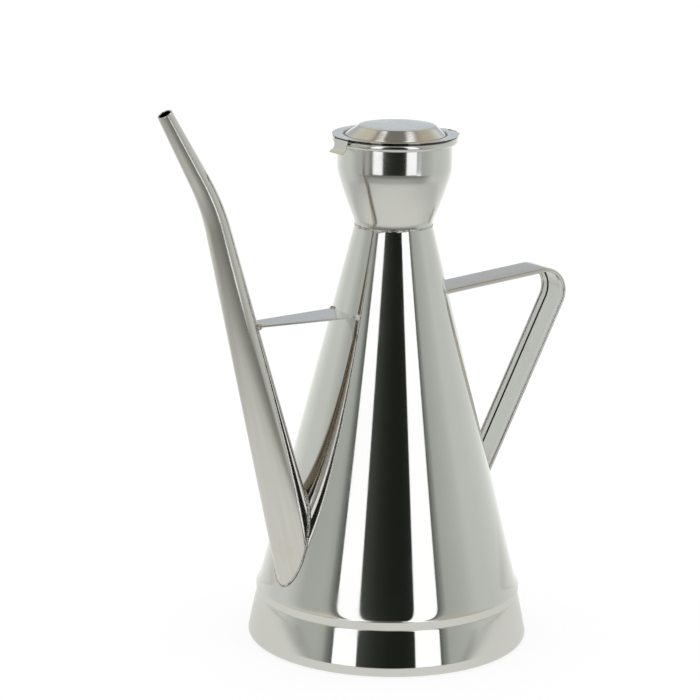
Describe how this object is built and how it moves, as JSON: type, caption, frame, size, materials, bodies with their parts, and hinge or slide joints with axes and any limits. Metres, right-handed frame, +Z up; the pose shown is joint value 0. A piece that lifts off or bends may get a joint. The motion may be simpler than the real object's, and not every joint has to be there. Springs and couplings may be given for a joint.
{
  "type": "oil cruet",
  "caption": "Conical steel oil cruet with a long bent spout, a flat bridge plate, a strip handle and a hinged lid over a funnel-shaped filling cup.",
  "frame": {"origin": "middle of the flat bottom of the base pan, on the plane that the cruet stands on", "axes": "+Z up along the cone's axis, -X towards the spout, +X towards the handle and the lid's hinge"},
  "size_m": [0.1826, 0.11, 0.217],
  "materials": {
    "cone_polished_steel": "mirror-polished stainless steel",
    "pan_polished_steel": "mirror-polished stainless steel",
    "cup_polished_steel": "mirror-polished stainless steel",
    "spout_brushed_steel": "brushed along its length",
    "strip_brushed_steel": "bright rolled strip with light brushing",
    "lid_satin_steel": "satin, spun in rings",
    "hinge_steel": "bright pressed steel",
    "weld_bead": "as welded, slightly heat-tinted"
  },
  "bodies": {
    "vessel": {"body_cone": "cone_polished_steel", "base_pan": "pan_polished_steel", "filling_cup": "cup_polished_steel", "neck_weld": "weld_bead", "spout_tube": "spout_brushed_steel", "spout_weld": "weld_bead", "spout_bridge": "strip_brushed_steel", "bridge_tack_cone_near": "weld_bead", "bridge_tack_cone_far": "weld_bead", "bridge_tack_spout_near": "weld_bead", "bridge_tack_spout_far": "weld_bead", "handle_strip": "strip_brushed_steel", "lid_hinge_bracket": "hinge_steel", "lid_hinge_pin": "hinge_steel"},
    "lid_body": {"lid": "lid_satin_steel"}
  },
  "joints": [
    {"name": "lid_hinge", "type": "hinge", "parent": "vessel", "child": "lid_body", "pos_m": [0.02555, 0, 0.1991], "axis": [0, 1, 0], "range_deg": [0, 110]}
  ]
}
